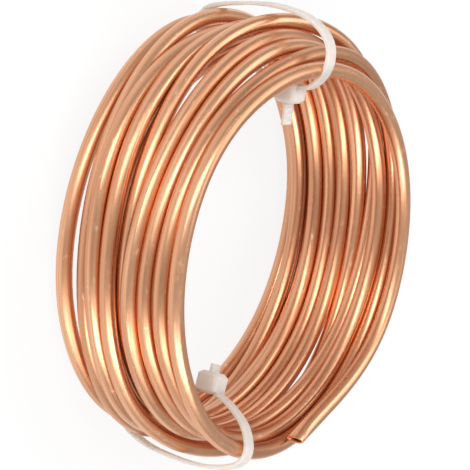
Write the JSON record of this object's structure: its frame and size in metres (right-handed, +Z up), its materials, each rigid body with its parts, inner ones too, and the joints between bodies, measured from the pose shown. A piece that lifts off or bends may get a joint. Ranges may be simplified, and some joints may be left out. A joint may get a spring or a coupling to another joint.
{
  "type": "copper tube coil",
  "caption": "Loose coil of small-bore soft copper tube lying on its back, held by nylon cable ties, with one open cut end for joining.",
  "frame": {"origin": "middle of the footprint on the surface that the coil lies on", "axes": "+Z up, along the coil's axis, with the front of the coil, where the tube's open end is, on top; +Y towards the tie whose tail hangs longest"},
  "size_m": [0.1088, 0.1143, 0.04],
  "materials": {
    "copper": "satin",
    "nylon": "satin"
  },
  "bodies": {
    "root": {"copper_tube_coil": "copper", "top_cable_tie": "nylon", "bottom_cable_tie": "nylon"}
  },
  "joints": []
}
